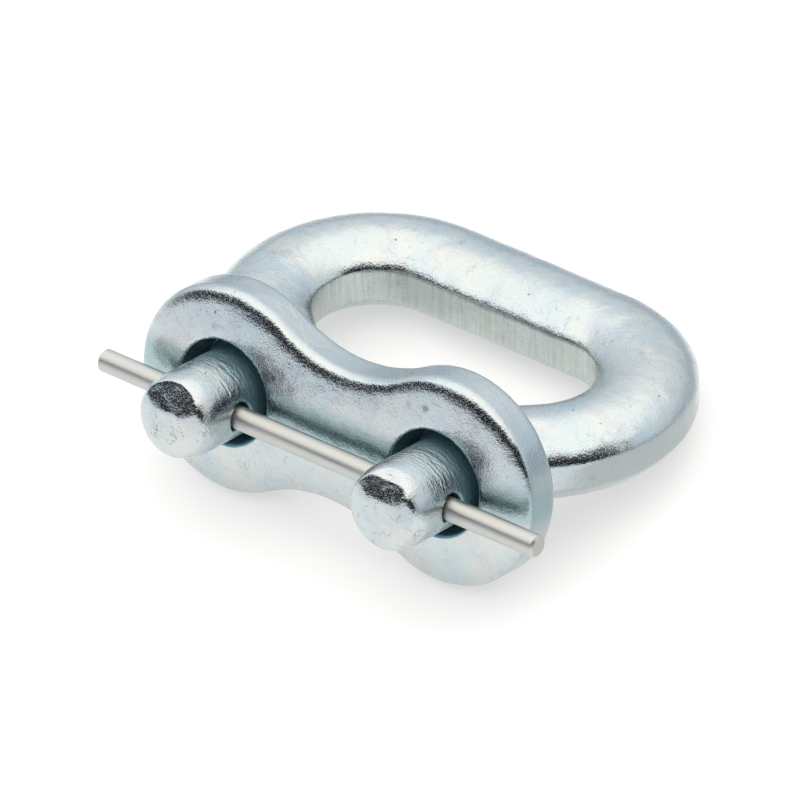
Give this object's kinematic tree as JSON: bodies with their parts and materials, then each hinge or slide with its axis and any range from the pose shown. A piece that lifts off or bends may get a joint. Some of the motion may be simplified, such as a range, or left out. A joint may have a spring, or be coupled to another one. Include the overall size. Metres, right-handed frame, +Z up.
{
  "type": "chain connecting link",
  "caption": "Forged bow-shaped connecting link for heavy round-link chain, closed by a loose side plate and a straight cross pin.",
  "frame": {"origin": "on the floor under the middle of the link's bounding box, with the link lying at rest on the lower back edge of its side plate and the underside of its back bar", "axes": "+X along the retaining pin; -Y is the side of the studs and side plate, whose axes rise from the floor towards the front by 20.9 degrees; +Z up from the floor. The link's plane of symmetry is at x = -1.39 mm, because the pin sits 1.5 mm over to +X"},
  "size_m": [0.0868, 0.0718, 0.0345],
  "materials": {
    "zinc_plated_forging": "bright zinc plating over a rough drop forging, mottled and pitted",
    "drawn_steel": "smooth cold-drawn wire, fine lengthwise lines"
  },
  "bodies": {
    "link_body": {"link_body": "zinc_plated_forging"},
    "side_plate": {"side_plate": "zinc_plated_forging"},
    "retaining_pin": {"retaining_pin": "drawn_steel"}
  },
  "joints": [
    {"name": "side_plate_end_play", "type": "slide", "parent": "link_body", "child": "side_plate", "axis": [0, -0.9343, 0.3565], "range_m": [0, 0.0017]},
    {"name": "retaining_pin_pull", "type": "slide", "parent": "link_body", "child": "retaining_pin", "axis": [1, 0, 0], "range_m": [-0.075, 0.072]}
  ]
}
